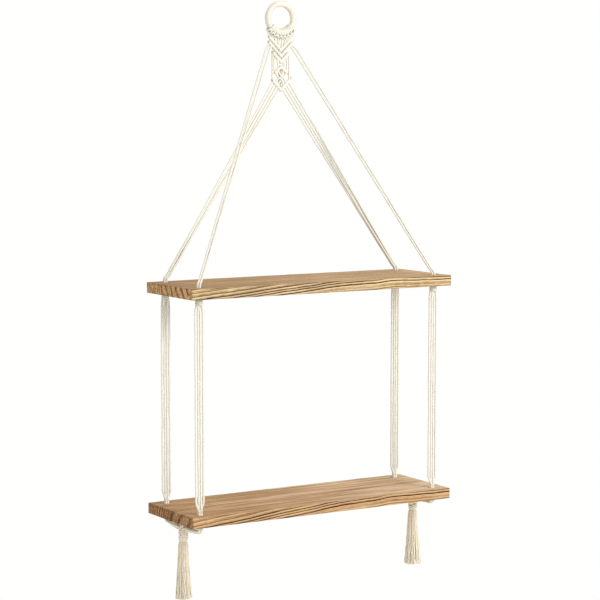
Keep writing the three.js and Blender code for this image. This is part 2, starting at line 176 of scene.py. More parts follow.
# How much lower than its solid a strap turns under the board, and how far its strands sag under each other
STRAP_DROPS = {"front_left": 0.8, "back_left": 0.6, "front_right": 0.0, "back_right": 0.0}
STRAP_SAGS = {"front_left": 1.05, "back_left": 1.4, "front_right": 0.15, "back_right": 0.15}
STRAND_SAGS = (2.2, 4.6, 2.6, 0.0)
STRAP_STRAND_RADIUS = 1.95
STRAP_BEND = 4.5

# Tassels, with their radius at shares of their length
YARN_COUNT = 230
YARN_RADIUS = 0.5
YARN_STEP = 2.4
YARN_POINTS = 5
YARN_TUCK = 3.2
TASSEL_GROUPS = 8
TASSEL_GROUPING = 0.13
TASSEL_SHARES = (0, 0.035, 0.08, 0.2, 0.45, 0.75, 1)
TASSEL_RADII = (5.0, 6.3, 7.0, 7.5, 8.6, 10.2)
APART_SHARE = 0.38

# Boards
EDGE_ROUND = 1.1
BOARD_STEPS = (2.8, 1.1, 0.8)
HOLE_RADIUS = 4.25
HOLE_CHAMFER = 0.7
HOLE_POINTS = 40
DRILL_OVERRUN = 2.0
GRAIN_RELIEF = 0.12
SHARP_ANGLE = 38

# Growth rings of the boards: the heart of the tree from the middle of a board, and the rings' spacing
UPPER_GROWTH = {"heart": (-93.0, 47.0), "turn": 127.0, "spacing": 5.5, "inner_spacing": 12.8, "seed": 1.3}
LOWER_GROWTH = {"heart": (-92.0, -43.0), "turn": 100.0, "spacing": 6.0, "inner_spacing": 20.0, "seed": 4.1}

# The late wood on a board's long edge: depths of the lines at its left end, and how far they climb along it
LINE_DEPTHS = (1.5, 7.0, 12.5, 17.4, 21.0, 24.0, 28.0, 34.0, 36.8, 42.0)
LINE_BOLDNESS = (0.3, 0.55, 0.65, 1.0, 1.0, 1.0, 1.0, 0.05, 0.75, 0.4)
PLAIN_BOLDNESS = 0.8
CLIMB_PLACES = (0.0, 220.0, 300.0, 317.0, 345.0, 420.0)
CLIMB_HEIGHTS = (0.0, 19.8, 22.6, 24.6, 22.9, 22.3)
CLIMB_EASE = 9.0
EDGE_GRAIN_DEPTH = 7.0

# Colours of the boards, from dark to light. The end colours are end grain that takes more stain, made darker
# still as painted shade
UPPER_COLOURS = {
    "face": ((0.28, 0.165, 0.077), (0.38, 0.24, 0.125), (0.49, 0.335, 0.195)),
    "edge": ((0.15, 0.085, 0.032), (0.36, 0.235, 0.105), (0.52, 0.37, 0.19), (0.7, 0.545, 0.33)),
    "end": ((0.31, 0.165, 0.066), (0.54, 0.32, 0.15), (0.7, 0.47, 0.255)),
    "early": (0.76, 0.565, 0.35),
    "line": (0.022, 0.009, 0.004),
}
LOWER_COLOURS = {
    "face": ((0.28, 0.155, 0.068), (0.425, 0.265, 0.14), (0.61, 0.45, 0.305)),
    "edge": ((0.145, 0.073, 0.028), (0.33, 0.185, 0.08), (0.45, 0.27, 0.126), (0.59, 0.385, 0.2)),
    "end": ((0.22, 0.105, 0.042), (0.38, 0.2, 0.092), (0.53, 0.305, 0.16)),
    "early": (0.67, 0.44, 0.25),
    "line": (0.022, 0.009, 0.004),
}

# Colours of the cords: pale and dark strands, and the painted shade of the grooves between the plies. Colours
# of the ring
COTTONS = {
    "twisted_cotton": ((0.74, 0.72, 0.65), (0.66, 0.625, 0.53), (0.5, 0.43, 0.33)),
    "knotted_cotton": ((0.8, 0.745, 0.62), (0.7, 0.63, 0.5), (0.6, 0.53, 0.41)),
    # The combed yarns: their own beige tone, made darker as painted shade between the yarns.
    "combed_cotton": ((0.75, 0.695, 0.575), (0.6, 0.525, 0.4), (0.5, 0.43, 0.33)),
}
RING_COLOURS = ((0.53, 0.445, 0.34), (0.645, 0.59, 0.505), (0.695, 0.66, 0.595))

# Finish of each material
COTTON_FINISH = {"Roughness": 0.93, "Specular IOR Level": 0.2, "Sheen Weight": 0.08, "Sheen Roughness": 0.55}
RING_FINISH = {"Roughness": 0.46, "Coat Weight": 0.15, "Coat Roughness": 0.35}
BOARD_FINISH = {"Specular IOR Level": 0.03}
FLOOR_FINISH = {"Base Color": (*FLOOR_COLOUR, 1), "Roughness": 0.8}

CORNERS = {
    "front_left": (-1, -1),
    "front_right": (1, -1),
    "back_left": (-1, 1),
    "back_right": (1, 1),
}
SIDES = {"left": -1, "right": 1}


def box(node):
    """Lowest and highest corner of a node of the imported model."""
    low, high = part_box(node)
    return np.array(low) / MM, np.array(high) / MM


def middle(node):
    low, high = box(node)
    return (low + high) / 2


def half_size(node):
    low, high = box(node)
    return (high - low) / 2


def vector(*values):
    return np.array(values, float)


def unit(v):
    return v / np.linalg.norm(v, axis=-1, keepdims=True)


def picture_axes():
    """Level directions to the right of the picture and into it."""
    turn = math.radians(CAMERA_YAW)
    return vector(math.cos(turn), -math.sin(turn), 0), vector(math.sin(turn), math.cos(turn), 0)


def new_object(name, data):
    made = bpy.data.objects.new(name, data)
    bpy.context.scene.collection.objects.link(made)
    return made


def mesh_from(shape, name):
    """A mesh with the faces of a bmesh, which is freed."""
    mesh = bpy.data.meshes.new(name)
    shape.to_mesh(mesh)
    shape.free()
    return mesh


def quads_between(here, there):
    """Faces between closed rings of points, from each ring to the one at its place in the other grid."""
    quads = np.stack([here, np.roll(here, -1, 1), np.roll(there, -1, 1), there], axis=-1)
    return quads.reshape(-1, 4).tolist()


# Camera, light and stage


def make_camera():
    data = bpy.data.cameras.new("photo_camera")
    data.sensor_width = SENSOR_WIDTH
    data.lens = CAMERA_LENS
    data.clip_end = CAMERA_REACH * MM
    camera = new_object("photo_camera", data)
    camera.location = vector(*CAMERA_PLACE) * MM
    camera.rotation_euler = (math.radians(90 - CAMERA_PITCH), 0, math.radians(-CAMERA_YAW))
    bpy.context.scene.camera = camera


def make_lights():
    for name, (place, size, power, colour) in LIGHTS.items():
        data = bpy.data.lights.new(name, "AREA")
        data.size = size * MM
        data.energy = power
        data.color = colour
        light = new_object(name, data)
        light.location = vector(*place) * MM
        direction = (vector(*LIGHT_TARGET) - vector(*place)) * MM
        light.rotation_euler = Vector(direction).to_track_quat("-Z", "Y").to_euler()
    world = bpy.data.worlds.new("studio")
    world.use_nodes = True
    background = world.node_tree.nodes["Background"]
    background.inputs["Color"].default_value = (*STUDIO_COLOUR, 1)
    background.inputs["Strength"].default_value = 1.0
    bpy.context.scene.world = world
    bpy.context.scene.view_settings.view_transform = "Standard"


def make_floor():
    shape = bmesh.new()
    bmesh.ops.create_circle(shape, cap_ends=True, segments=96, radius=FLOOR_RADIUS * MM)
    floor = new_object("floor", mesh_from(shape, "floor"))
    floor.location = (0, 0, -FLOOR_DROP * MM)
    material, _, shader = new_material("pale_floor")
    set_finish(shader, FLOOR_FINISH)
    floor.data.materials.append(material)


# Materials


def new_material(name):
    material = bpy.data.materials.new(name)
    material.use_nodes = True
    tree = material.node_tree
    return material, tree, tree.nodes["Principled BSDF"]


def set_finish(shader, finish):
    for name, value in finish.items():
        shader.inputs[name].default_value = value


def add(tree, kind, inputs=None, **settings):
    """A node with its settings, and its inputs linked to sockets or set to values."""
    made = tree.nodes.new(kind)
    for key, value in settings.items():
        setattr(made, key, value)
    for key, value in (inputs or {}).items():
        if isinstance(value, bpy.types.NodeSocket):
            tree.links.new(value, made.inputs[key])
        else:
            made.inputs[key].default_value = value
    return made


def maths(tree, operation, first, second=0.0):
    return add(tree, "ShaderNodeMath", {0: first, 1: second}, operation=operation).outputs[0]


def plus(tree, first, second):
    return maths(tree, "ADD", first, second)


def times(tree, first, second):
    return maths(tree, "MULTIPLY", first, second)


def mix(tree, share, first, second, blend="MIX"):
    inputs = {0: share, 6: first, 7: second}
    return add(tree, "ShaderNodeMix", inputs, data_type="RGBA", blend_type=blend).outputs[2]


def ramp(tree, value, positions, tones):
    """A colour or a grey for each position of a value."""
    made = add(tree, "ShaderNodeValToRGB", {0: value})
    elements = made.color_ramp.elements
    elements.remove(elements[-1])
    for i, (position, tone) in enumerate(zip(positions, tones)):
        element = elements.new(position) if i else elements[0]
        element.position = position
        element.color = (*tone, 1) if isinstance(tone, tuple) else (tone, tone, tone, 1)
    return made.outputs[0]


def toned(tree, colour, share, value, positions, greys):
    """A colour, in part multiplied by the grey that belongs to a value."""
    return mix(tree, share, colour, ramp(tree, value, positions, greys), "MULTIPLY")


def noise(tree, place, stretch=None, scale=1.0, detail=3.0, roughness=0.5):
    """Noise at a place, which may be stretched first."""
    if stretch:
        place = add(tree, "ShaderNodeMapping", {"Vector": place, "Scale": stretch}).outputs[0]
    inputs = {"Vector": place, "Scale": scale, "Detail": detail, "Roughness": roughness}
    return add(tree, "ShaderNodeTexNoise", inputs).outputs[0]


def attribute(tree, name):
    return add(tree, "ShaderNodeAttribute", attribute_name=name).outputs["Fac"]


def set_surface(tree, shader, colour, height, strength, distance, finish):
    """Links a colour and a bump to the shader, and sets its finish."""
    tree.links.new(colour, shader.inputs["Base Color"])
    bump = add(tree, "ShaderNodeBump", {"Strength": strength, "Distance": distance * MM, "Height": height})
    tree.links.new(bump.outputs[0], shader.inputs["Normal"])
    set_finish(shader, finish)


def cotton(name):
    """Twisted cotton: fibres along the plies, painted shade in the grooves between the plies, a few darker
    strands, a soft sheen.
    """
    pale, dark, painted_groove_shade_colour = COTTONS[name]
    material, tree, shader = new_material(name)
    place = add(tree, "ShaderNodeTexCoord")
    fibres = noise(tree, place.outputs["UV"], stretch=(2.2, 34, 1), detail=4.0, roughness=0.6)
    blotches = noise(tree, place.outputs["Object"], scale=34.0, detail=2.0)
    fuzz = noise(tree, place.outputs["Object"], scale=2600.0, roughness=0.65)
    tone = plus(tree, attribute(tree, "shade"), times(tree, blotches, 0.25))
    colour = mix(tree, tone, (*pale, 1), (*dark, 1))
    colour = toned(tree, colour, 1.0, fibres, (0.25, 0.55), (0.93, 1.0))
    # Painted shade: the grooves between the plies are darkened towards the groove colour.
    groove_shade = times(tree, attribute(tree, "groove_shade"), 0.2)
    colour = mix(tree, groove_shade, colour, (*painted_groove_shade_colour, 1))
    height = plus(tree, fibres, times(tree, fuzz, 0.5))
    set_surface(tree, shader, colour, height, strength=0.4, distance=0.3, finish=COTTON_FINISH)
    return material


def board_wood(name, colours, streak_seed):
    """Stained and brushed softwood: dark late wood and open fibres on the long edges, ends darker from the
    stain in the end grain and from painted shade, tops and bottoms painted paler towards the right as painted
    glare.
    """
    material, tree, shader = new_material(name)
    place = add(tree, "ShaderNodeTexCoord")
    facing = add(tree, "ShaderNodeSeparateXYZ", {0: place.outputs["Normal"]})
    edge_share = maths(tree, "ABSOLUTE", facing.outputs["Y"])
    end_share = maths(tree, "ABSOLUTE", facing.outputs["X"])
    spot = add(tree, "ShaderNodeSeparateXYZ", {0: place.outputs["Object"]}).outputs
    inputs = {0: spot["X"], 1: spot["Y"], 2: attribute(tree, "level")}
    along_grain = add(tree, "ShaderNodeCombineXYZ", inputs).outputs[0]
    inputs = {"Vector": along_grain, "Location": (streak_seed, 0.3, 0.7)}
    seeded = add(tree, "ShaderNodeMapping", inputs).outputs[0]
    fibres = noise(tree, seeded, stretch=(90, 1500, 1500), roughness=0.65)
    streaks = noise(tree, seeded, stretch=(8, 210, 210), detail=5.0, roughness=0.6)
    pores = noise(tree, seeded, stretch=(160, 3200, 3200), detail=2.0, roughness=0.7)
    stain = noise(tree, seeded, scale=13.0, roughness=0.55)
    wear = noise(tree, seeded, stretch=(14, 120, 120), detail=2.0)
    saw_marks = noise(tree, seeded, stretch=(60, 420, 420), roughness=0.6)

    # Painted glare: tops and bottoms turn paler towards the right, where the light glances off them.
    painted_glare = add(tree, "ShaderNodeMapRange", {0: spot["X"], 1: -0.2, 2: 0.2, 3: -0.06, 4: 0.11}).outputs[0]
    face = ramp(tree, plus(tree, streaks, painted_glare), (0.34, 0.5, 0.66), colours["face"])
    grain = plus(tree, times(tree, fibres, 0.6), times(tree, streaks, 0.4))
    edge = ramp(tree, grain, (0.38, 0.46, 0.53, 0.62), colours["edge"])
    early, late = ring_tones(tree, attribute(tree, "rings"), attribute(tree, "boldness"))
    edge = mix(tree, times(tree, early, 0.75), edge, (*colours["early"], 1))
    body = mix(tree, edge_share, face, edge)
    # The ends: end grain that takes more stain, darkened further as painted shade on the side away from the
    # key light.
    ends = ramp(tree, saw_marks, (0.36, 0.5, 0.66), colours["end"])
    body = mix(tree, end_share, body, ends)

    broken = ramp(tree, wear, (0.32, 0.5), (0.7, 1.0))
    depth = plus(tree, times(tree, edge_share, 0.86), 0.14)
    depth = plus(tree, depth, times(tree, end_share, 0.7))
    late = times(tree, late, times(tree, depth, broken))
    body = mix(tree, late, body, (*colours["line"], 1))
    body = toned(tree, body, 1.0, stain, (0.3, 0.66), (0.88, 1.06))
    body = toned(tree, body, 0.6, pores, (0.34, 0.46), (0.72, 1.0))
    body = mix(tree, times(tree, attribute(tree, "edge"), 0.6), body, (*colours["line"], 1))

    relief = maths(tree, "SUBTRACT", fibres, times(tree, pores, 0.4))
    relief = maths(tree, "SUBTRACT", relief, times(tree, late, 0.7))
    tree.links.new(ramp(tree, streaks, (0.2, 0.8), (0.86, 0.72)), shader.inputs["Roughness"])
    set_surface(tree, shader, body, relief, strength=0.5, distance=0.5, finish=BOARD_FINISH)
    return material


def ring_tones(tree, rings, boldness):
    """How light the early wood and how dark the late wood is, from the count of growth rings."""
    share = maths(tree, "FRACT", rings)
    early = ramp(tree, share, (0.0, 0.22, 0.45, 1.0), (1.0, 0.6, 0.0, 0.0))
    late = (0.0, 0.05, 0.4, 0.58, 0.7, 0.94, 1.0), (0.2, 0.0, 0.03, 0.5, 1.0, 1.0, 0.2)
    bold = times(tree, ramp(tree, share, *late), boldness)
    finer = times(tree, rings, 4.0)
    number = maths(tree, "FLOOR", finer)
    odds = add(tree, "ShaderNodeTexWhiteNoise", {"W": number}, noise_dimensions="1D").outputs["Value"]
    thin = times(tree, ramp(tree, maths(tree, "FRACT", finer), *late), odds)
    return early, maths(tree, "MAXIMUM", bold, times(tree, thin, 0.55))


def ring_wood():
    """Pale turned hardwood with straight fine grain, flecks and turning marks."""
    material, tree, shader = new_material("turned_wood")
    solid = add(tree, "ShaderNodeTexCoord").outputs["Object"]
    lines = noise(tree, solid, stretch=(45, 500, 900), detail=5.0, roughness=0.6)
    flecks = noise(tree, solid, stretch=(420, 2600, 2600), detail=2.0, roughness=0.6)
    patches = noise(tree, solid, scale=60.0, detail=2.0)
    colour = ramp(tree, lines, (0.3, 0.48, 0.7), RING_COLOURS)
    colour = toned(tree, colour, 0.4, flecks, (0.3, 0.48), (0.7, 1.0))
    colour = toned(tree, colour, 0.6, patches, (0.3, 0.7), (0.85, 1.08))
    height = plus(tree, lines, times(tree, flecks, 0.4))
    set_surface(tree, shader, colour, height, strength=0.25, distance=0.2, finish=RING_FINISH)
    return material


# Cords


def smooth_route(points, step=CORD_STEP):
    """A smooth line through the points, with stops one step apart along it."""
    points = np.array(points, float)
    if len(points) > 2:
        ends = np.vstack([2 * points[0] - points[1], points, 2 * points[-1] - points[-2]])
        share = np.linspace(0, 1, CURVE_STOPS, endpoint=False)[:, None]
        pieces = []
        for a, b, c, d in zip(ends, ends[1:], ends[2:], ends[3:]):
            bend = 2 * b + (c - a) * share + (2 * a - 5 * b + 4 * c - d) * share**2
            pieces.append((bend + (3 * b - a - 3 * c + d) * share**3) / 2)
        points = np.vstack([*pieces, points[-1:]])
    reach = along(points)
    stops = np.linspace(0, reach[-1], max(2, round(reach[-1] / step) + 1))
    return np.stack([np.interp(stops, reach, points[:, axis]) for axis in range(3)], axis=1)


def along(route):
    """The distance of each point of a route from its start."""
    return np.concatenate([[0], np.cumsum(np.linalg.norm(np.diff(route, axis=0), axis=1))])


def tangents(route):
    return unit(np.gradient(route, axis=0))


def carried_sides(route):
    """Directions square to the route that turn no more than the route does."""
    direction = tangents(route)
    start = vector(0, 1, 0) if abs(direction[0][1]) < 0.8 else vector(1, 0, 0)
    sides = [unit(start - direction[0] * (start @ direction[0]))]
    for here in direction[1:]:
        side = sides[-1] - here * (sides[-1] @ here)
        sides.append(side / np.linalg.norm(side))
    return np.array(sides)


def ply_shares():
    """Distances of the outline of the twisted plies from the cord's axis, as shares of its radius."""
    ply_share = 1 - PLY_OFFSET_SHARE
    ply_turn = 360 / PLIES
    angles = np.arange(PLIES * POINTS_PER_PLY) * 360 / (PLIES * POINTS_PER_PLY)
    from_ply = np.radians((angles + ply_turn / 2) % ply_turn - ply_turn / 2)
    rest = ply_share**2 - (PLY_OFFSET_SHARE * np.sin(from_ply)) ** 2
    return PLY_OFFSET_SHARE * np.cos(from_ply) + np.sqrt(rest)


PLY_SHARES = ply_shares()


class Cords:
    """Cords that are made as one piece: their tubes share a mesh."""

    def __init__(self, name, seed):
        self.name = name
        self.random = np.random.default_rng(seed)
        self.points = []
        self.faces = []
        self.groove_shade = []
        self.shade = []
        self.uv = []
        self.count = 0

    def tube(self, route, outline, across, out, sides=None, twist=None, shade=None):
        """A closed tube on the route. The outline's shares are scaled by its half widths at each stop."""
        sides = carried_sides(route) if sides is None else sides
        ups = np.cross(tangents(route), sides)
        count = len(outline)
        angles = np.arange(count) * 2 * np.pi / count + (0 if twist is None else twist[:, None])
        angles = np.broadcast_to(angles, (len(route), count))
        across = np.broadcast_to(across, len(route))[:, None]
        out = np.broadcast_to(out, len(route))[:, None]
        x = (outline * np.cos(angles) * across)[..., None]
        y = (outline * np.sin(angles) * out)[..., None]
        rings = route[:, None] + sides[:, None] * x + ups[:, None] * y
        shade = self.random.random() ** 2 * 0.5 if shade is None else shade
        self._add_tube(rings, outline, along(route), shade)

    def _add_tube(self, rings, outline, reach, shade):
        stops, count = rings.shape[:2]
        grid = self.count + np.arange(stops * count).reshape(stops, count)
        low, high = self.count + stops * count, self.count + stops * count + 1
        self.points += [rings.reshape(-1, 3), rings[:1].mean(1), rings[-1:].mean(1)]
        self.faces += quads_between(grid[:-1], grid[1:])
        self.faces += [[low, b, a] for a, b in zip(grid[0], np.roll(grid[0], -1))]
        self.faces += [[high, a, b] for a, b in zip(grid[-1], np.roll(grid[-1], -1))]
        # How deep each point lies in a groove between the plies: the cotton darkens it there as painted
        # shade.
        depth = (1 - outline) / max(1e-6, 1 - outline.min())
        self.groove_shade += [np.tile(depth, stops), np.zeros(2)]
        self.shade.append(np.full(stops * count + 2, shade))
        u = np.repeat(reach[:, None], count, 1)
        v = np.tile(np.arange(count) / count, (stops, 1))
        next_v = v + 1 / count
        corners = ((u[:-1], v[:-1]), (u[:-1], next_v[:-1]), (u[1:], next_v[1:]), (u[1:], v[1:]))
        quad_uv = np.stack([np.stack(corner, -1) for corner in corners], axis=2)
        self.uv += [quad_uv.reshape(-1, 2), np.zeros((count * 6, 2))]
        self.count += stops * count + 2

    def cord(self, points, radius=CORD_RADIUS, step=CORD_STEP, wave=0.0, shade=None):
        """A twisted cord through the points, with a slight wander between its ends."""
        route = smooth_route(points, step)
        reach = along(route)
        if wave:
            route = route + self.wander(reach, wave)
        turn = 2 * np.pi * reach / CORD_LAY + self.random.random() * 2 * np.pi
        self.tube(route, PLY_SHARES, radius, radius, twist=turn, shade=shade)

    def flat_cord(self, route, out, width, thickness, turn=0.0):
        """A cord pressed flat on what it lies on, with its outer side facing out."""
        direction = tangents(route)
        out = unit(out - direction * (out * direction).sum(1, keepdims=True))
        twist = 2 * np.pi * along(route) / CORD_LAY + turn
        self.tube(route, PLY_SHARES, width, thickness, sides=np.cross(out, direction), twist=twist)

    def wander(self, reach, amount):
        ends = np.sqrt(np.clip(np.sin(np.pi * reach / reach[-1]), 0, 1))
        waves = np.zeros((len(reach), 3))
        for length in WANDER_LENGTHS:
            phase = self.random.random(3) * 2 * np.pi
            waves += np.sin(2 * np.pi * reach[:, None] / length + phase) / len(WANDER_LENGTHS)
        return waves * amount * ends[:, None]

    def make(self, material, body, nodes):
        mesh = bpy.data.meshes.new(self.name)
        mesh.from_pydata((np.vstack(self.points) * MM).tolist(), [], self.faces)
        mesh.polygons.foreach_set("use_smooth", [True] * len(self.faces))
        set_values(mesh, "groove_shade", np.concatenate(self.groove_shade))
        set_values(mesh, "shade", np.concatenate(self.shade))
        layer = mesh.uv_layers.new(name="along_cord")
        layer.uv.foreach_set("vector", np.vstack(self.uv).astype(np.float32).ravel())
        return finish_piece(self.name, mesh, material, body, nodes)


def set_values(mesh, name, values):
    made = mesh.attributes.new(name, "FLOAT", "POINT")
    made.data.foreach_set("value", values.astype(np.float32))


def finish_piece(name, mesh, material, body, nodes):
    mesh.materials.append(material)
    piece = new_object(name, mesh)
    if body:
        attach(piece, body)
    if nodes:
        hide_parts(*nodes)
    return piece


def smooth_share(share):
    share = np.clip(share, 0, 1)
    return share * share * (3 - 2 * share)


# The ring and the folds round it


class RingPlace:
    """Places on the ring: an angle along it from straight down, and one round its tube from the outside."""

    def __init__(self):
        self.centre = middle("hanging_ring")
        self.radius = half_size("hanging_ring")[0] - TUBE_RADIUS

    def out(self, ring_angle, tube_angle):
        a, b = np.radians(ring_angle), np.radians(tube_angle)
        return np.stack([np.sin(a) * np.cos(b), -np.sin(b) + 0 * a, -np.cos(a) * np.cos(b)], axis=-1)

    def at(self, ring_angle, tube_angle, distance):
        a, b = np.radians(ring_angle), np.radians(tube_angle)
        reach = self.radius + distance * np.cos(b)
        place = np.stack([reach * np.sin(a), -distance * np.sin(b) + 0 * a, -reach * np.cos(a)], axis=-1)
        return self.centre + place


def make_ring(material, ring):
    a = np.linspace(0, 360, RING_STOPS, endpoint=False)[:, None]
    b = np.linspace(0, 360, RING_POINTS, endpoint=False)[None]
    a, b = np.broadcast_arrays(a, b)
    uneven = 1 + 0.012 * np.sin(np.radians(a * 3 + 40)) + 0.008 * np.sin(np.radians(a * 7))
    places = ring.at(a, b, TUBE_RADIUS * uneven)
    grid = np.arange(RING_STOPS * RING_POINTS).reshape(RING_STOPS, RING_POINTS)
    mesh = bpy.data.meshes.new("turned_ring")
    faces = quads_between(grid, np.roll(grid, -1, 0))
    mesh.from_pydata((places.reshape(-1, 3) * MM).tolist(), [], faces)
    mesh.flip_normals()
    mesh.shade_smooth()
    finish_piece("turned_ring", mesh, material, "ring", ["hanging_ring"])


def fold_angle(index, side):
    """Angle along the ring where the tail on one side of a fold leaves it."""
    return -FOLD_ARC / 2 + FOLD_PITCH * (index + 0.5) + side * FOLD_PITCH * TAIL_SHARE


def tail_points(ring, angle):
    """The tail of a fold, from where it leaves the neck up to the front of the ring."""
    a = math.radians(angle)
    points = []
    for drop, front in TAIL_PLACES:
        reach = ring.radius + drop
        points.append(ring.centre + vector(reach * math.sin(a), -front, -reach * math.cos(a)))
    return np.array(points)


def make_folds(material, ring):
    """Each cord is folded round the ring: a bar in front, and both tails under it."""
    for i in range(FOLD_COUNT):
        folds = Cords(f"cord_fold_{i + 1}", seed=20 + i)
        halves = []
        for side in (-1, 1):
            tail = fold_angle(i, side)
            angles = tail + side * FOLD_PITCH * FOLD_SHIFTS
            wrap = ring.at(angles, FOLD_ANGLES, FOLD_REACH + FOLD_RISES * FOLD_RADIUS)
            outs = [vector(0, -1, 0), vector(0, -1, 0), ring.out(angles, FOLD_ANGLES)]
            halves.append((np.vstack([tail_points(ring, tail), wrap]), np.vstack(outs)))
        bar_place = vector(fold_angle(i, 0)), vector(BAR_ANGLE)
        bar = ring.at(*bar_place, FOLD_REACH + 2.0 * FOLD_RADIUS)
        points = np.vstack([halves[0][0], bar, halves[1][0][::-1]])
        outs = np.vstack([halves[0][1], ring.out(*bar_place), halves[1][1][::-1]])
        route = smooth_route(points, 0.8)
        reach, route_reach = along(points), along(route)
        shares = route_reach / route_reach[-1]
        out = np.stack([np.interp(shares, reach / reach[-1], outs[:, k]) for k in range(3)], axis=1)
        inside = np.clip(1 - np.linalg.norm(route - ring.centre, axis=1) / ring.radius, 0, 0.3) / 0.3
        folds.flat_cord(route, out, FOLD_RADIUS * (1.08 - FOLD_PINCH_SHARE * inside), FOLD_RADIUS)
        folds.make(material, "folds", [f"larks_head_{i + 1}"])


# The knotted neck


class Row:
    """The axis of a row of hitches, from its outer end to the middle of the neck."""

    def __init__(self, node, angle, thickness, side, falls_outwards=False):
        low, high = box(node)
        slope = math.radians(angle)
        half = thickness / 2
        end_x = (low[0] if side < 0 else high[0]) - side * half * math.sin(slope)
        end_z, rise = (low[2], 1) if falls_outwards else (high[2], -1)
        end_z += rise * half * math.cos(slope)
        self.outer = vector(end_x, 0, end_z)
        self.tip = vector(0, 0, end_z + rise * math.tan(slope) * abs(end_x))
        self.thickness = thickness
        self.depth = high[1] - low[1]
        self.node = node

    def at(self, share):
        return self.outer + (self.tip - self.outer) * share

    def height(self, x):
        return self.at(1 - abs(x) / abs(self.outer[0]))[2]


def hitch(cords, centre, forward, row, pitch, hand, lean, room=(-9, 9)):
    """One wrap of cord round the holding cord. It starts and ends behind the row and stays in its room."""
    back = vector(0, 1, 0)
    across = unit(np.cross(forward, back))
    turn = np.radians(np.linspace(*HITCH_TURN, HITCH_STOPS))
    angle = turn * hand
    reach_in = row.thickness / 2 - ROW_WRAP_THICKNESS / 2
    reach_back = row.depth / 2 - ROW_WRAP_THICKNESS / 2
    jitter = cords.random.normal(0, HITCH_JITTER, 2)
    shift = np.clip(jitter[0] + lean * pitch * (turn / math.pi - 0.5), *room)
    offset = across[None] * (np.cos(angle) * reach_in)[:, None]
    offset = offset - back[None] * (np.sin(turn) * reach_back * (1 + jitter[1] * 0.4))[:, None]
    route = centre + forward * shift[:, None] + offset
    out = unit(across[None] * np.cos(angle)[:, None] - back[None] * np.sin(turn)[:, None])
    route = np.vstack([route[0] - out[0] * HITCH_TUCK, route, route[-1] - out[-1] * HITCH_TUCK])
    out = np.vstack([out[:1], out, out[-1:]])
    cords.flat_cord(route, out, pitch * HITCH_WIDTH_SHARE, ROW_WRAP_THICKNESS / 2, turn=centre[0])


def make_row(material, row, wraps, seed):
    """Two holding cords, one wrap for each hitch on them, and one over the tip of a left row."""
    cords = Cords(f"hitches_{row.node}", seed=seed)
    run = row.tip - row.outer
    length = np.linalg.norm(run)
    forward = run / length
    filled = max(0.3, row.depth / 2 - ROW_WRAP_THICKNESS - 0.9)
    for y in (-filled, filled):
        ends = [row.outer + vector(0, y, 0) - forward * 1.0, row.tip + vector(0, y, 0)]
        cords.cord(ends, radius=HOLDING_RADIUS)
    pitch = length / wraps
    hand = 1 if row.outer[0] < 0 else -1
    for i in range(wraps):
        reach = (i + 0.5) * pitch
        room = (OUTER_MARGIN - reach, length - TIP_MARGIN - reach)
        hitch(cords, row.outer + forward * reach, forward, row, pitch, hand, HITCH_LEANS[hand], room)
    if hand > 0:
        hitch(cords, row.tip, vector(1, 0, 0), row, TIP_PITCH, 1, TIP_LEAN)
    cords.make(material, "upper_tier", [row.node])


def make_collar(material, ring, rows):
    """The sixteen tails between the folds and the first row."""
    tails = [fold_angle(i, side) for i in range(FOLD_COUNT) for side in (-1, 1)]
    half = len(tails) // 2
    for i, angle in enumerate(tails):
        row = rows["left"] if i < half else rows["right"]
        order = i if i < half else len(tails) - 1 - i
        end = row.at((order + 0.5) / half)
        start = tail_points(ring, angle)
        stagger = COLLAR_STAGGER if i % 2 else -COLLAR_STAGGER
        low = end + vector(0, stagger, row.thickness * 0.75)
        cords = Cords(f"collar_cord_{i + 1}", seed=60 + i)
        bow = COLLAR_BOW * (int(i == len(tails) - 1) - int(i == 0))
        between = (start[0] + low) / 2 + vector(bow, stagger * 0.6, 0)
        points = [start[1], start[0], between, low + vector(bow * 0.6, 0, 0), end]
        cords.cord(points, radius=COLLAR_RADIUS)
        piece = cords.make(material, None, ["collar_cords"] if i == 0 else [])
        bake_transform(piece)


def make_neck_cords(material, v_row, upper, lower):
    """Three plain cords on each side between the V and the diamond, with an opening between the inner two."""
    for name, side in SIDES.items():
        node = f"neck_cords_{name}"
        low, high = box(node)
        outer = abs(low[0] if side < 0 else high[0]) - CORD_RADIUS
        cords = Cords(f"plain_cords_{name}", seed=100 + side)
        for top_x, middle_x, foot_x, depth in ((outer, outer + 0.3, outer, -0.5), *INNER_NECK_CORDS):
            top = v_row.height(top_x)
            foot = lower.outer[2] if top_x == outer else upper.height(foot_x)
            bow = (side * middle_x, depth, (top + foot) / 2)
            cords.cord([(side * top_x, 0, top), bow, (side * foot_x, 0, foot)], radius=1.4, wave=0.15)
        cords.make(material, "upper_tier", [node])


def make_square_knot(material, upper, lower):
    """Two doubled cords woven through each other on the diagonals, in front of two straight ones."""
    centre = middle("square_knot") + vector(0, -0.6, 0.8)
    cords = Cords("square_knot_cords", seed=130)
    for x in (-1.4, 1.4):
        cords.cord([(x, 2.4, upper[1].tip[2]), (x, 3.1, centre[2]), (x, 2.4, lower[1].tip[2])], radius=1.3)
    for side in (-1, 1):
        onward, aside = unit(vector(-side, 0, -1)), unit(vector(-side, 0, 1))
        for lane, top_share, foot_share in ((-1, 0.12, 0.6), (1, 0.5, 0.3)):
            over = side * lane * KNOT_DEPTH
            crossings = ((-KNOT_HALF_GAP, KNOT_HALF_GAP, over), (KNOT_HALF_GAP, KNOT_HALF_GAP, -over))
            points = [upper[side].at(top_share)]
            for reach, spread, depth in ((-5.6, 2.3, -0.54), *crossings, (5.6, 2.3, -0.54)):
                points.append(centre + onward * reach + aside * lane * spread + vector(0, depth, 0))
            cords.cord([*points, lower[-side].at(foot_share)])
    cords.make(material, "upper_tier", ["square_knot"])


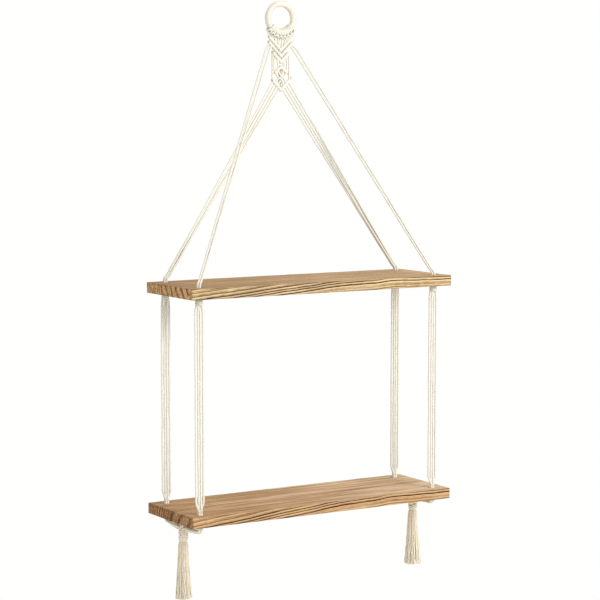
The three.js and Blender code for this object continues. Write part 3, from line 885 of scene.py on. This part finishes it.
def make_corner_loop(material, upper, lower):
    """The cord that turns back at the right corner of the diamond hangs out in a slack loop, given a darker
    tone as painted shade.
    """
    cords = Cords("corner_loop_right", seed=141)
    top, foot = upper.outer, lower.outer
    points = [top + vector(-1.4, 0.8, 1.2)]
    for share, bulge in LOOP_BULGE:
        edge = top + (foot - top) * share
        points.append(vector(max(edge[0], LOOP_EDGE) + LOOP_REACH * bulge, 1.4 - 1.6 * share, edge[2]))
    # Painted shade: the loop lies behind the plain cord, so it is given a darker tone.
    cords.cord([*points, foot - vector(1.2, 0.6, 1.0)], shade=0.8)
    cords.make(material, "upper_tier", [])


# Slings, stop knots and legs


def make_slings(material, v_row, diamond):
    """Four strands to each upper hole: two pairs from the V in front, a fan from the diamond at the back."""
    board_top = box("upper_board")[1][2]
    for name, (side, depth) in CORNERS.items():
        knot = middle(f"stop_knot_{name}")
        aside, behind = picture_axes() if depth < 0 else (vector(1, 0, 0), vector(0, 1, 0))
        cords = Cords(f"sling_cords_{name}", seed=160 + 7 * side + depth)
        for a, b in BUNDLE_SHARES:
            place = vector(knot[0], knot[1], 0) + (aside * a + behind * b) * BUNDLE_PITCH
            if depth < 0:
                row = v_row[side]
                start = row.at(0.1) + aside * a * SLING_TOP_GAP + behind * b * BUNDLE_PITCH
                hidden = row.at(0.16) + aside * a * SLING_HIDDEN_GAP + behind * b * SLING_HIDDEN_DEPTH
            else:
                start = diamond[side].at(0.1 + (0 if a * side > 0 else 0.5) + (0 if b < 0 else 0.25))
                hidden = start
            bend = place + vector(0, 0, board_top + SLING_BEND_HEIGHT)
            foot = place + vector(0, 0, knot[2] + 1.5)
            run = [start + (bend - start) * share for share in SLING_SHARES]
            cords.cord([hidden, *run, bend, foot], wave=0.3)
        cords.make(material, "upper_tier", [f"sling_{name}"])


def wrapped_band(cords, centre, profile, pitch, tilt, turns, start, radius, squeeze=1.0):
    """A band of strands wound once round a knot: it starts and ends under itself."""
    share = np.linspace(0, 1, BAND_STOPS)
    angle = np.radians(start) + 2 * np.pi * turns * share
    lean = tilt * np.cos(angle - np.radians(start)) + pitch * 0.6 * (share - 0.5)
    end_dip = np.clip((share - (1 - BAND_END_SHARE)) / BAND_END_SHARE, 0, 1) ** 2
    dip = end_dip + np.clip((BAND_START_SHARE - share) / BAND_START_SHARE, 0, 1) ** 2
    for j in range(BAND_STRANDS):
        z = (j - (BAND_STRANDS - 1) / 2) * pitch + lean
        reach = np.maximum(profile(z) - radius * squeeze, 0.9) * (1 - BAND_DIP * dip)
        route = centre + np.stack([reach * np.cos(angle), reach * np.sin(angle), z], axis=1)
        route = smooth_route(route, BAND_STEP)
        outward = (route - centre) * vector(1, 1, 0)
        cords.flat_cord(route, outward, min(radius, pitch * 0.54), radius * squeeze, turn=j)


def make_stop_knots(material):
    for i, name in enumerate(CORNERS):
        node = f"stop_knot_{name}"
        centre = middle(node)
        wide, _, tall = half_size(node)

        def profile(z):
            power = STOP_KNOT_POWER
            return wide * np.clip(1 - np.abs(z / (tall * 1.1)) ** power, 0.05, 1) ** (1 / power)

        cords = Cords(f"overhand_{name}", seed=190 + i)
        filling = vector(0, 0, tall - 1)
        cords.cord([centre + filling, centre - filling], radius=STOP_KNOT_FILLING)
        wrapped_band(cords, centre, profile, 2.0, 0.9, 1.16, 200 + 35 * i, 1.25)
        cords.make(material, f"knot_{name}", [node])


def bundle_places(x, y):
    return [vector(x + a * BUNDLE_PITCH, y + b * BUNDLE_PITCH, 0) for a, b in BUNDLE_SHARES]


def make_legs(material):
    """Four strands side by side, which fan out under the stop knot and draw together at the lower board."""
    for i, name in enumerate(CORNERS):
        node = f"leg_{name}"
        bottom = box(node)[0][2]
        knot = middle(f"stop_knot_{name}")
        foot = middle(f"leg_end_{name}")
        cords = Cords(f"leg_cords_{name}", seed=210 + i)
        tight = bundle_places(foot[0], foot[1])
        heights = np.linspace(knot[2] - 1.0, foot[2] - 0.6, LEG_STOPS)
        opened = smooth_share((knot[2] - 2.5 - heights) / LEG_SPREAD_LENGTH)[:, None]
        closed = smooth_share(1 - (heights - bottom - LEG_GATHER_START) / LEG_GATHER_LENGTH)[:, None]
        for j, place in enumerate(LEG_ORDER):
            side = 1 if j % 2 == 0 else -1
            top = vector(foot[0] + (j - 1.5) * LEG_TOP_PITCH, foot[1] + side * LEG_TOP_STAGGER, 0)
            wide = vector(foot[0] + (j - 1.5) * LEG_PITCH, foot[1] + side * LEG_STAGGER, 0)
            route = top + (wide - top) * opened
            route = route + (tight[place] - route) * closed
            route[:, 2] = heights
            cords.cord(route, radius=LEG_STRAND_RADIUS, wave=LEG_WAVE)
        cords.make(material, node, [node])


def make_feet(material):
    """The four strands of a leg where they are drawn together just above the lower board."""
    board_top = box("lower_board")[1][2]
    for i, name in enumerate(CORNERS):
        node = f"leg_end_{name}"
        centre = middle(node)
        top = box(node)[1][2] - 0.6
        cords = Cords(f"leg_foot_{name}", seed=230 + i)
        for place in bundle_places(centre[0], centre[1]):
            ends = [place + vector(0, 0, top), place + vector(0, 0, board_top + 0.5)]
            cords.cord(ends, radius=LEG_STRAND_RADIUS, step=0.6)
        body = node if name == "front_left" else "lower_tier"
        cords.make(material, body, [node])


# Under the lower board


def strap_level(name):
    """Height of the axis of the four strands where they turn under the board."""
    return box(f"board_pass_{name}")[0][2] + BUNDLE_PITCH / 2 + CORD_RADIUS - STRAP_DROPS[name]


def make_passes(material):
    """The strands through a lower hole, turned under the board."""
    board_top = box("lower_board")[1][2]
    for i, name in enumerate(CORNERS):
        node = f"board_pass_{name}"
        low, high = box(node)
        inwards = -CORNERS[name][1]
        hole_y = middle(f"leg_end_{name}")[1]
        end_y = high[1] if inwards > 0 else low[1]
        cords = Cords(f"pass_cords_{name}", seed=250 + i)
        for (a, b), sag in zip(BUNDLE_SHARES, STRAND_SAGS):
            x, out = (low[0] + high[0]) / 2 + a * BUNDLE_PITCH, b * BUNDLE_PITCH
            strap_z = strap_level(name) - sag * STRAP_SAGS[name] * 0.5
            y = hole_y + inwards * out
            points = [(x, y, max(high[2], board_top + 0.9)), (x, y, strap_z + STRAP_BEND + 2)]
            for turn in np.radians((0, 30, 60, 90)):
                reach = STRAP_BEND - out
                y = hole_y + inwards * (STRAP_BEND - reach * math.cos(turn))
                points.append((x, y, strap_z + STRAP_BEND - reach * math.sin(turn)))
            points.append((x, end_y + inwards * 0.4, strap_z + out))
            cords.cord(points, radius=STRAP_STRAND_RADIUS, step=0.8)
        cords.make(material, "lower_tier", [node])


def strap_routes(name):
    """Routes of the four strands from the turn under the board into the knot, one sagging below the other."""
    side, depth = CORNERS[name]
    low, high = box(f"strap_{name}")
    centre = middle("gathering_knot_left" if side < 0 else "gathering_knot_right")
    start_y = low[1] if depth < 0 else high[1]
    routes = []
    for (a, b), sag in zip(BUNDLE_SHARES, STRAND_SAGS):
        x, z = centre[0] + a * BUNDLE_PITCH, strap_level(name) + b * BUNDLE_PITCH
        sunk = sag * STRAP_SAGS[name]
        places = (
            (start_y + depth * 0.8, sunk * 0.5),
            (start_y - depth * 5, sunk * 0.75),
            (centre[1] + depth * 18, sunk + 0.6),
            (centre[1] + depth * 7, sunk + 0.8),
            (centre[1] + depth * 3, sunk + 2.6),
            (centre[1] + depth * 1.5, sunk + 8),
        )
        routes.append([vector(x, y, z - drop) for y, drop in places])
    return routes


def make_ends(material, tassel_material):
    for k, (name, side) in enumerate(SIDES.items()):
        knot = f"gathering_knot_{name}"
        centre = middle(knot)
        radius, _, half_height = half_size(knot)
        straight = half_height - radius

        def profile(z):
            past = np.clip(np.abs(z) - straight, 0, radius * 0.96)
            return np.sqrt(radius**2 - past**2)

        cords = Cords(f"gathering_{name}", seed=280 + k)
        for depth in ("front", "back"):
            corner = f"{depth}_{name}"
            strap = Cords(f"strap_cords_{corner}", seed=290 + k)
            for route in strap_routes(corner):
                # Painted light: the strap strands get the palest tone, against the shade they lie in under
                # the board.
                strap.cord(route, radius=STRAP_STRAND_RADIUS, wave=0.2, shade=0.0)
            strap.make(material, f"strap_loop_{name}", [f"strap_{corner}"])
        for x in (-2.2, 2.2):
            for y in (-2.2, 2.2):
                ends = [centre + vector(x, y, straight + 3), centre + vector(x, y, -straight - 5)]
                cords.cord(ends, radius=GATHERING_FILLING)
        for height, share, pitch, tilt, start in GATHERING_BANDS:

            def girth(z):
                return profile(z + height) * share

            place = centre + vector(0, 0, height)
            wrapped_band(cords, place, girth, pitch, tilt, 1.14, start + 40 * side, 1.42, squeeze=0.95)
        cords.make(material, f"strap_loop_{name}", [knot])
        make_tassel(tassel_material, name, k)


def make_tassel(material, name, k):
    """Combed yarns of eight strands, which flare to a level cut. On the right one strand hangs apart, painted
    paler as if lit from the right.
    """
    node = f"tassel_{name}"
    low, high = box(node)
    centre = middle(node)
    length = high[2] - low[2]
    end_radius = half_size(node)[0]
    radii = (*TASSEL_RADII, end_radius)
    apart = picture_axes()[0][:2] * (name == "right")
    cords = Cords(f"tassel_yarns_{name}", seed=300 + k)
    random = cords.random
    golden_turn = math.pi * (3 - math.sqrt(5))
    outline = np.ones(YARN_POINTS)
    group_turn = 2 * np.pi / TASSEL_GROUPS
    group_shade = random.random(TASSEL_GROUPS) * 0.35
    stop = np.linspace(0, 1, round(length / YARN_STEP))
    for j in range(YARN_COUNT):
        share = math.sqrt((j + 0.5) / YARN_COUNT)
        angle = j * golden_turn
        group = int(angle // group_turn) % TASSEL_GROUPS
        home = (angle // group_turn + 0.5) * group_turn
        angle = angle + (home - angle) * TASSEL_GROUPING
        reach = (np.interp(stop, TASSEL_SHARES, radii) - YARN_RADIUS) * share
        phase = random.random(2) * 2 * np.pi
        kink = 2 * np.pi * stop * length / random.uniform(14.0, 30.0)
        size = 0.08 + 0.2 * stop * random.uniform(0.3, 1.2)
        drift = random.normal(0, 0.35, 2)[None] * stop[:, None] ** 2
        place = np.stack([reach * np.cos(angle), reach * np.sin(angle)], axis=1) + drift
        place += np.stack([np.sin(kink + phase[0]), np.cos(kink + phase[1])], axis=1) * size[:, None]
        hangs_apart = place[-1] @ apart > APART_SHARE * end_radius
        place += apart * stop[:, None] ** 1.5 * (1.5 if hangs_apart else -0.6)
        place *= np.minimum(1, (end_radius + 0.8) / np.maximum(np.hypot(*place.T), 1e-6))[:, None]
        cut = length + random.normal(0, 0.35) - 0.6
        z = high[2] + YARN_TUCK - stop * (cut + YARN_TUCK)
        route = np.column_stack([centre[0] + place[:, 0], centre[1] + place[:, 1], z])
        size = YARN_RADIUS * random.uniform(0.85, 1.15) * (0.95 + 0.2 * stop)
        # Painted light: the yarns that hang apart on the right are made paler, as if lit from the right.
        shade = 0.08 + group_shade[group] + random.normal(0, 0.13) - 0.3 * hangs_apart
        cords.tube(route, outline, size, size, shade=float(np.clip(shade, 0, 1)))
    cords.make(material, f"tassel_{name}", [node])


# Boards


def lattice_stops(half, step):
    """Places along one half-length: even steps, closer together over the rounded edge."""
    arc = half - EDGE_ROUND + EDGE_ROUND * np.tan(np.radians((0, 15, 30, 45)))
    count = max(1, round((half - EDGE_ROUND) / step))
    inner = np.linspace(0, half - EDGE_ROUND, count + 1)[:-1]
    positive = np.concatenate([inner, arc])
    return np.concatenate([-positive[:0:-1], positive])


def slab_mesh(half):
    """The skin of a block as a fine grid, with rounded edges."""
    stops = [lattice_stops(h, s) for h, s in zip(half, BOARD_STEPS)]
    counts = [len(s) for s in stops]
    shape = bmesh.new()
    made = {}

    def point(*key):
        if key not in made:
            place = vector(*(along_axis[i] for along_axis, i in zip(stops, key)))
            core = np.clip(place, -(half - EDGE_ROUND), half - EDGE_ROUND)
            off = place - core
            length = np.linalg.norm(off)
            if length > 0:
                place = core + off / length * EDGE_ROUND
            made[key] = shape.verts.new(place * MM)
        return made[key]

    for axis in range(3):
        u, v = (axis + 1) % 3, (axis + 2) % 3
        for end in (0, counts[axis] - 1):
            for i in range(counts[u] - 1):
                for j in range(counts[v] - 1):
                    corners = [(i, j), (i + 1, j), (i + 1, j + 1), (i, j + 1)]
                    if end == 0:
                        corners.reverse()
                    face = []
                    for a, b in corners:
                        key = [0, 0, 0]
                        key[axis], key[u], key[v] = end, a, b
                        face.append(point(*key))
                    shape.faces.new(face)
    return mesh_from(shape, "slab")


def drill_mesh(height):
    """A drill with a flare at both faces of the board."""
    half = height / 2
    flare = HOLE_RADIUS + HOLE_CHAMFER + DRILL_OVERRUN
    profile = [(flare, half + DRILL_OVERRUN), (HOLE_RADIUS, half - HOLE_CHAMFER)]
    profile += [(radius, -z) for radius, z in reversed(profile)]
    shape = bmesh.new()
    angles = np.linspace(0, 2 * np.pi, HOLE_POINTS, endpoint=False)
    rings = []
    for radius, z in profile:
        places = [vector(radius * np.cos(a), radius * np.sin(a), z) for a in angles]
        rings.append([shape.verts.new(place * MM) for place in places])
    for upper, lower in zip(rings, rings[1:]):
        for i in range(HOLE_POINTS):
            j = (i + 1) % HOLE_POINTS
            shape.faces.new([upper[i], lower[i], lower[j], upper[j]])
    shape.faces.new(rings[0])
    shape.faces.new(rings[-1][::-1])
    return mesh_from(shape, "drill")


def circle_count(y, z, x, growth):
    """Count of the growth rings that are circles round the heart of the tree."""
    heart_y = growth["heart"][0] + 3 * np.sin(x / 71 + growth["seed"])
    heart_z = growth["heart"][1] + 2 * np.sin(x / 53 + 2 * growth["seed"])
    reach = np.hypot(y - heart_y, z - heart_z) - growth["turn"]
    return np.where(reach > 0, reach / growth["spacing"], reach / growth["inner_spacing"])


def climb(place):
    """How far the lines on a long edge have climbed at a distance from its left end."""
    eased = [np.interp(place + shift, CLIMB_PLACES, CLIMB_HEIGHTS) for shift in (-CLIMB_EASE, 0, CLIMB_EASE)]
    return sum(eased) / 3 + 0.3 * np.sin(place / 17) + 0.12 * np.sin(place / 5.3)


def growth_rings(place, half, growth):
    """Count of growth rings, and the level of the fibres: both follow the lines of the long edges there."""
    x, y, z = place.T
    rings = circle_count(y, z, x, growth)
    level = z.copy()
    boldness = np.full(len(x), PLAIN_BOLDNESS)
    for edge_y, way in ((-half[1], 1), (half[1], -1)):
        near = np.exp(-(((y - edge_y) / EDGE_GRAIN_DEPTH) ** 2))
        risen = climb(way * x + half[0])
        skimmed = np.interp(half[2] - z + risen, LINE_DEPTHS, np.arange(len(LINE_DEPTHS)))
        bolder = np.interp(half[2] - z + risen, LINE_DEPTHS, LINE_BOLDNESS)
        boldness += (bolder - boldness) * near
        at_edge = np.floor(circle_count(edge_y, 0, 0, growth))
        rings = rings * (1 - near) + (at_edge + skimmed) * near
        level -= risen * near
    return rings + 0.06 * np.sin(y / 6.1 + z / 4.3 + growth["seed"]) + 60, level, boldness


def ring_relief(count):
    """The harder late wood stands a little proud of the early wood."""
    share = count % 1
    return np.clip((share - 0.5) / 0.3, 0, 1) * np.clip((1 - share) / 0.05, 0, 1)


def make_board(name, material, body, growth):
    low, high = box(name)
    half = half_size(name)
    centre = middle(name)
    slab = new_object(f"grained_{name}", slab_mesh(half))
    slab.location = centre * MM
    drills = []
    for corner in CORNERS:
        spot = middle(f"leg_end_{corner}")
        drill = new_object("drill", drill_mesh(high[2] - low[2]))
        drill.location = vector(spot[0], spot[1], centre[2]) * MM
        cut = slab.modifiers.new("hole", "BOOLEAN")
        cut.object = drill
        cut.operation = "DIFFERENCE"
        cut.solver = "EXACT"
        drills.append(drill)
    bpy.context.view_layer.update()
    cut_slab = slab.evaluated_get(bpy.context.evaluated_depsgraph_get())
    mesh = bpy.data.meshes.new_from_object(cut_slab)
    for used in (*drills, slab):
        bpy.data.objects.remove(used)
    dress_board(mesh, half, growth)
    mesh.transform(Matrix.Translation(centre * MM))
    finish_piece(f"grained_{name}", mesh, material, body, [name])


def dress_board(mesh, half, growth):
    """Ring counts and edges as attributes, and a slight relief of the grain."""
    flat = np.zeros(len(mesh.vertices) * 3, np.float32)
    mesh.vertices.foreach_get("co", flat)
    place = flat.reshape(-1, 3).astype(float) / MM
    mesh.vertices.foreach_get("normal", flat)
    normal = flat.reshape(-1, 3).astype(float)
    rings, level, boldness = growth_rings(place, half, growth)
    gap = half - np.abs(place)
    nearest_edge = np.sort(gap, axis=1)[:, 1]
    edge = np.exp(-np.clip(nearest_edge, 0, None) / 0.7)
    edge *= 0.45 + 0.4 * np.sin(place[:, 0] / 23 + place[:, 1] / 11) * np.sin(place[:, 0] / 61 + 1)
    inside = (gap.min(axis=1) > EDGE_ROUND).astype(float)
    depth = GRAIN_RELIEF * (1 - ring_relief(rings)) * (1 - inside)
    moved = (place - normal * depth[:, None]) * MM
    mesh.vertices.foreach_set("co", moved.astype(np.float32).ravel())
    for name, values in (("rings", rings), ("edge", edge), ("level", level * MM), ("boldness", boldness)):
        set_values(mesh, name, values)
    mesh.shade_smooth()
    mesh.set_sharp_from_angle(angle=math.radians(SHARP_ANGLE))


def make_neck(material, ring):
    """The folds, the three V rows, the diamond and what lies between them, and the slings from their ends."""
    make_folds(material, ring)
    v_rows = {}
    for order in ("upper", "middle", "lower"):
        for name, side in SIDES.items():
            row = Row(f"v_row_{order}_{name}", V_ROW_ANGLE, V_ROW_THICKNESS, side)
            v_rows[order, name] = row
            make_row(material, row, SHORT_ROW_WRAPS if order == "lower" else FULL_ROW_WRAPS, seed=len(v_rows))
    upper, lower = {}, {}
    for name, side in SIDES.items():
        node = f"diamond_row_upper_{name}"
        upper[side] = Row(node, DIAMOND_UPPER_ANGLE, DIAMOND_ROW_THICKNESS, side, falls_outwards=True)
        node = f"diamond_row_lower_{name}"
        lower[side] = Row(node, DIAMOND_LOWER_ANGLE, DIAMOND_ROW_THICKNESS, side)
        make_row(material, upper[side], SHORT_ROW_WRAPS, seed=40 + side)
        make_row(material, lower[side], SHORT_ROW_WRAPS, seed=50 + side)
    make_collar(material, ring, {name: v_rows["upper", name] for name in SIDES})
    make_neck_cords(material, v_rows["lower", "right"], upper[1], lower[1])
    make_square_knot(material, upper, lower)
    make_corner_loop(material, upper[1], lower[1])
    make_slings(material, {side: v_rows["middle", name] for name, side in SIDES.items()}, lower)


def make_shelf():
    ring = RingPlace()
    pale_cotton, knotted_cotton, tassel_cotton = [cotton(name) for name in COTTONS]
    make_ring(ring_wood(), ring)
    make_neck(pale_cotton, ring)
    upper_wood = board_wood("stained_wood_upper", UPPER_COLOURS, 0.0)
    make_board("upper_board", upper_wood, "upper_tier", UPPER_GROWTH)
    make_stop_knots(pale_cotton)
    make_legs(pale_cotton)
    make_feet(pale_cotton)
    lower_wood = board_wood("stained_wood_lower", LOWER_COLOURS, 3.1)
    make_board("lower_board", lower_wood, "lower_tier", LOWER_GROWTH)
    make_passes(knotted_cotton)
    make_ends(knotted_cotton, tassel_cotton)


make_camera()
make_lights()
make_floor()
make_shelf()
